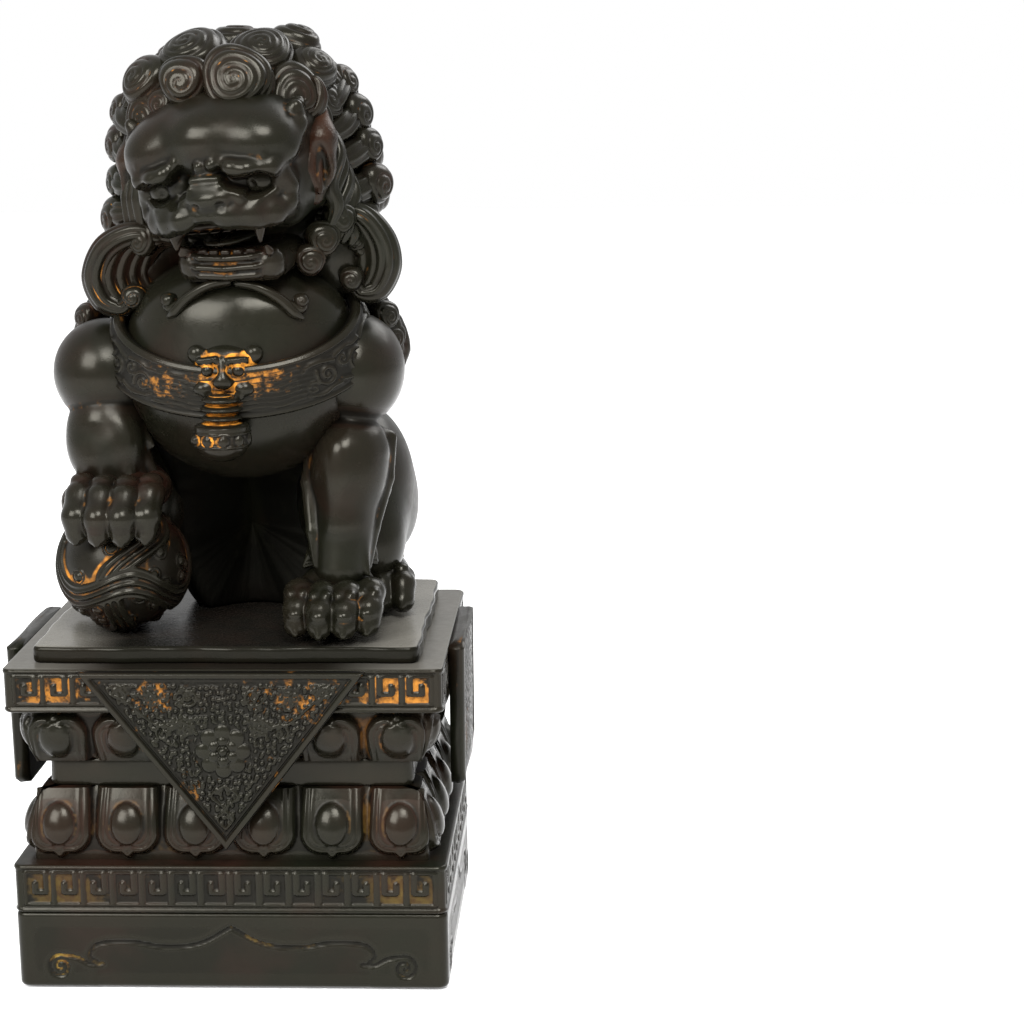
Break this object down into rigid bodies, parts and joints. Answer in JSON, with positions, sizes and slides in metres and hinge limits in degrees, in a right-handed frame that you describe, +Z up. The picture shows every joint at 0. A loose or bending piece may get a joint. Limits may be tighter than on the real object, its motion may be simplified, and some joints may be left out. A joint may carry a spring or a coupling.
{
  "type": "foo dog statue",
  "caption": "Seated guardian lion with a paw on a brocade ball, belled collar and curled mane, on a stepped lotus plinth with hanging cloth panels.",
  "frame": {"origin": "centre of the resting face, midway across and midway front to back, at the bottom of the felt pads", "axes": "+Z up; -Y is the way the lion's chest faces; +X is the lion's own left side, over its plain left forepaw"},
  "size_m": [0.178, 0.132, 0.361],
  "materials": {
    "dark_resin": "semi-gloss ebonised cast resin, smooth, with reddish brown and olive tints",
    "rubbed_resin": "ebonised cast resin with ochre gold left in the recesses of the carving",
    "slab_resin": "ebonised cast resin, dusty on its flat top",
    "felt": "matt felt"
  },
  "bodies": {
    "root": {"foot_tier": "dark_resin", "waist_tier": "dark_resin", "left_foreleg": "dark_resin", "right_foreleg": "dark_resin", "left_forepaw": "dark_resin", "right_forepaw": "dark_resin", "chest": "dark_resin", "torso": "dark_resin", "left_haunch": "dark_resin", "right_haunch": "dark_resin", "left_hind_paw": "dark_resin", "right_hind_paw": "dark_resin", "head": "dark_resin", "lower_jaw": "dark_resin", "tongue": "dark_resin", "upper_teeth": "dark_resin", "lower_teeth": "dark_resin", "left_eye": "dark_resin", "right_eye": "dark_resin", "left_ear": "dark_resin", "right_ear": "dark_resin", "left_beard_curl": "dark_resin", "right_beard_curl": "dark_resin", "left_cloth": "dark_resin", "right_cloth": "dark_resin", "lower_fret_band": "rubbed_resin", "lower_lotus_tier": "rubbed_resin", "upper_lotus_tier": "rubbed_resin", "cornice": "rubbed_resin", "front_cloth": "rubbed_resin", "back_cloth": "rubbed_resin", "ball": "rubbed_resin", "bell": "rubbed_resin", "collar_mask": "rubbed_resin", "collar": "rubbed_resin", "tail": "rubbed_resin", "mane_left": "rubbed_resin", "mane_right": "rubbed_resin", "mane_crown": "rubbed_resin", "mane_back": "rubbed_resin", "left_neck_lock": "rubbed_resin", "right_neck_lock": "rubbed_resin", "left_shoulder_lock": "rubbed_resin", "right_shoulder_lock": "rubbed_resin", "lion_slab": "slab_resin", "felt_pad_front_left": "felt", "felt_pad_back_left": "felt", "felt_pad_front_right": "felt", "felt_pad_back_right": "felt"}
  },
  "joints": []
}
